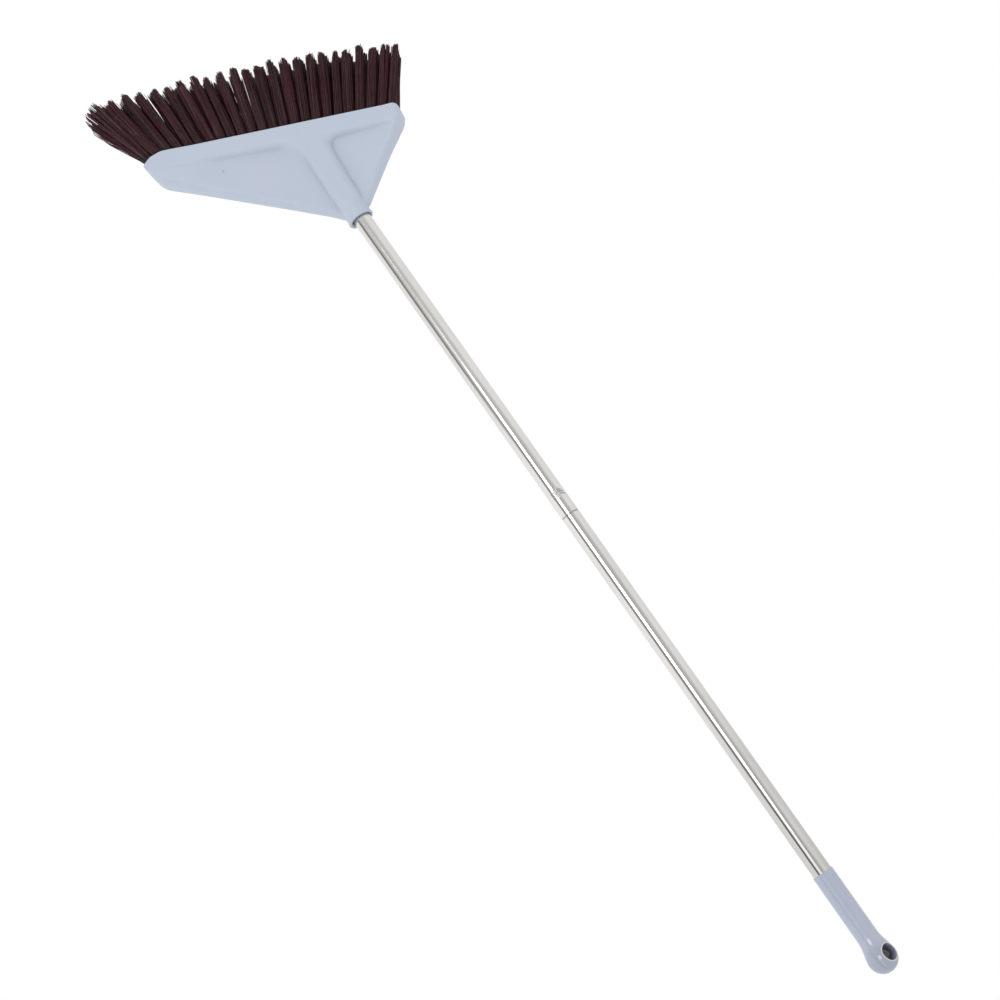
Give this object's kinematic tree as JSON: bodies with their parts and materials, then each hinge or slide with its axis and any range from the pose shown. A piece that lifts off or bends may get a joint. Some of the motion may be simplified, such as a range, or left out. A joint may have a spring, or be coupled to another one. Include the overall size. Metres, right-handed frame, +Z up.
{
  "type": "floor broom",
  "caption": "Floor broom with an angled moulded plastic head, a tufted bristle block, a two-part polished steel tube handle and a plastic grip with a hanging hole",
  "frame": {"origin": "centre of the hanging hole through the grip's bulb, on the handle's axis", "axes": "+Z runs up the handle to the grip's end, the head's front face looks along -Y, and the long side of the head points along +X"},
  "size_m": [0.3224, 0.037, 1.192],
  "materials": {
    "grip_plastic": "glossy",
    "polished_steel": "polished",
    "insert_plastic": "satin",
    "washer_rubber": "matte",
    "moulded_plastic": "satin",
    "bristle_plastic": "satin"
  },
  "bodies": {
    "upper_handle": {"grip": "grip_plastic", "upper_tube": "polished_steel", "joint_stud": "insert_plastic"},
    "seam_ring": {"seam_ring": "polished_steel"},
    "lower_handle": {"lower_tube": "polished_steel", "joint_nut": "insert_plastic", "socket_ferrule": "insert_plastic"},
    "socket_washer": {"socket_washer": "washer_rubber"},
    "head": {"head_shell": "moulded_plastic", "bristles_01": "bristle_plastic", "bristles_02": "bristle_plastic", "bristles_03": "bristle_plastic", "bristles_04": "bristle_plastic", "bristles_05": "bristle_plastic", "bristles_06": "bristle_plastic", "bristles_07": "bristle_plastic", "bristles_08": "bristle_plastic", "bristles_09": "bristle_plastic", "bristles_10": "bristle_plastic", "bristles_11": "bristle_plastic", "bristles_12": "bristle_plastic"}
  },
  "joints": [
    {"name": "seam_travel", "type": "slide", "parent": "upper_handle", "child": "seam_ring", "axis": [0, 0, -1], "range_m": [0, 0.02]},
    {"name": "seam_turn", "type": "hinge", "parent": "seam_ring", "child": "lower_handle", "pos_m": [0, 0, -0.506], "axis": [0, 0, -1], "range_deg": [0, 1800]},
    {"name": "socket_travel", "type": "slide", "parent": "lower_handle", "child": "socket_washer", "axis": [0, 0, -1], "range_m": [0, 0.02032]},
    {"name": "socket_turn", "type": "hinge", "parent": "socket_washer", "child": "head", "pos_m": [0, 0, -0.95], "axis": [0, 0, -1], "range_deg": [0, 1440]}
  ],
  "couplings": [
    {"joint": "seam_travel", "follows": "seam_turn", "m_per_rad": 0.00063662},
    {"joint": "socket_travel", "follows": "socket_turn", "m_per_rad": 0.00080851}
  ]
}
